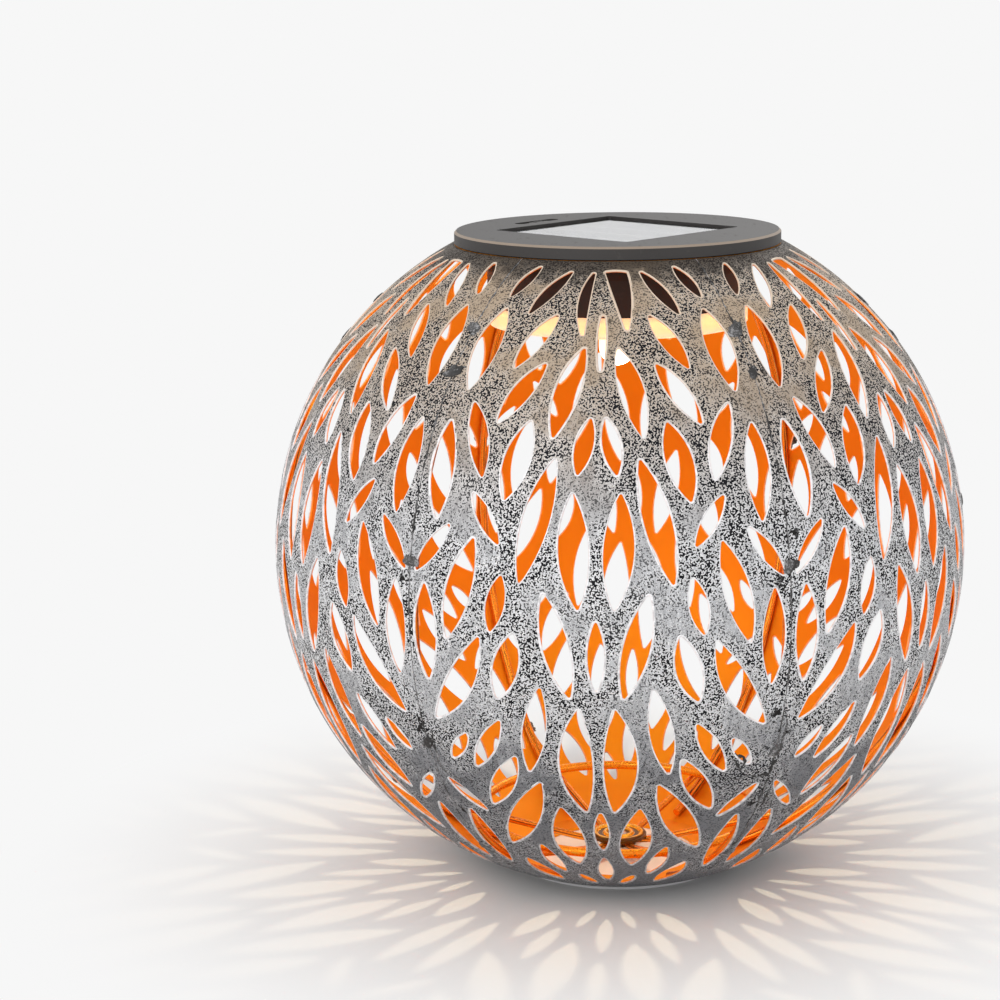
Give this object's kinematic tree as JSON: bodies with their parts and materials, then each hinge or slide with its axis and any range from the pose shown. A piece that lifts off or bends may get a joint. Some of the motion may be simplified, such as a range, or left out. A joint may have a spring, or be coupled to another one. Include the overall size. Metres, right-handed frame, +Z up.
{
  "type": "garden globe light",
  "caption": "Free-standing pierced sheet-metal globe with a flat foot and a round solar lamp unit that drops into its top collar.",
  "frame": {"origin": "on the ground under the middle of the globe", "axes": "+Z up, -Y towards the front of the picture, +X to its right"},
  "size_m": [0.3, 0.3, 0.2811],
  "materials": {
    "antique_silver": "antique silver with black speckles outside, orange-gold inside",
    "gold_paint": "glossy orange-gold paint",
    "brown_paint": "dark brown paint",
    "solder": "dark weld spots",
    "black_rubber": "soft matte black",
    "zinc": "bright zinc",
    "black_plastic": "fine-grained black",
    "board_green": "laminate",
    "silicon": "dark blue silicon",
    "tin": "tinned",
    "clear_cover": "clear and glossy",
    "cream_plastic": "translucent cream",
    "white_plastic": "white",
    "frosted_cover": "frosted",
    "led_yellow": "phosphor yellow",
    "battery_sleeve": "plain printed sleeve, no text",
    "component_black": "moulded",
    "lead_red": "insulation",
    "lead_black": "insulation",
    "knob_grey": "dark grey"
  },
  "bodies": {
    "globe": {"base_hub": "gold_paint", "brace_arms": "gold_paint", "brace_hoop": "gold_paint", "collar_gasket": "black_rubber", "foot_ring": "antique_silver", "gore_panel_1": "antique_silver", "gore_panel_2": "antique_silver", "gore_panel_3": "antique_silver", "gore_panel_4": "antique_silver", "gore_panel_5": "antique_silver", "gore_panel_6": "antique_silver", "hub_rivet": "zinc", "hub_washer": "zinc", "seam_rib_1": "gold_paint", "seam_rib_2": "gold_paint", "seam_rib_3": "gold_paint", "seam_rib_4": "gold_paint", "seam_rib_5": "gold_paint", "seam_rib_6": "gold_paint", "seam_welds": "solder", "top_collar": "brown_paint"},
    "lamp_unit": {"battery_cell": "battery_sleeve", "battery_leads": "lead_black", "battery_tray": "black_plastic", "board_parts": "component_black", "board_plugs": "white_plastic", "board_screws": "zinc", "bulb_cover": "frosted_cover", "bulb_socket": "white_plastic", "cell_busbars": "tin", "control_board": "board_green", "diffuser_ring": "cream_plastic", "door_hinge_pin": "zinc", "housing_can": "black_plastic", "housing_screws": "zinc", "housing_seal": "black_rubber", "led_board": "board_green", "led_chips": "led_yellow", "led_leads": "lead_red", "panel_sealant": "black_rubber", "plate_contact": "tin", "reflector_cup": "white_plastic", "solar_backing": "board_green", "solar_cells": "silicon", "solar_cover": "clear_cover", "solar_leads": "lead_red", "spring_contact": "tin", "switch_body": "component_black", "switch_leads": "lead_black", "switch_screws": "zinc", "top_bezel": "black_plastic"},
    "battery_door": {"battery_door": "black_plastic", "door_seal": "black_rubber"},
    "power_switch": {"switch_knob": "knob_grey"}
  },
  "joints": [
    {"name": "lamp_lift", "type": "slide", "parent": "globe", "child": "lamp_unit", "axis": [0, 0, 1], "range_m": [0, 0.08]},
    {"name": "battery_door_hinge", "type": "hinge", "parent": "lamp_unit", "child": "battery_door", "pos_m": [0, -0.0392, 0.24831], "axis": [-1, 0, 0], "range_deg": [0, 90]},
    {"name": "power_switch_slide", "type": "slide", "parent": "lamp_unit", "child": "power_switch", "axis": [-0.6561, -0.7547, 0], "range_m": [0, 0.004]}
  ]
}
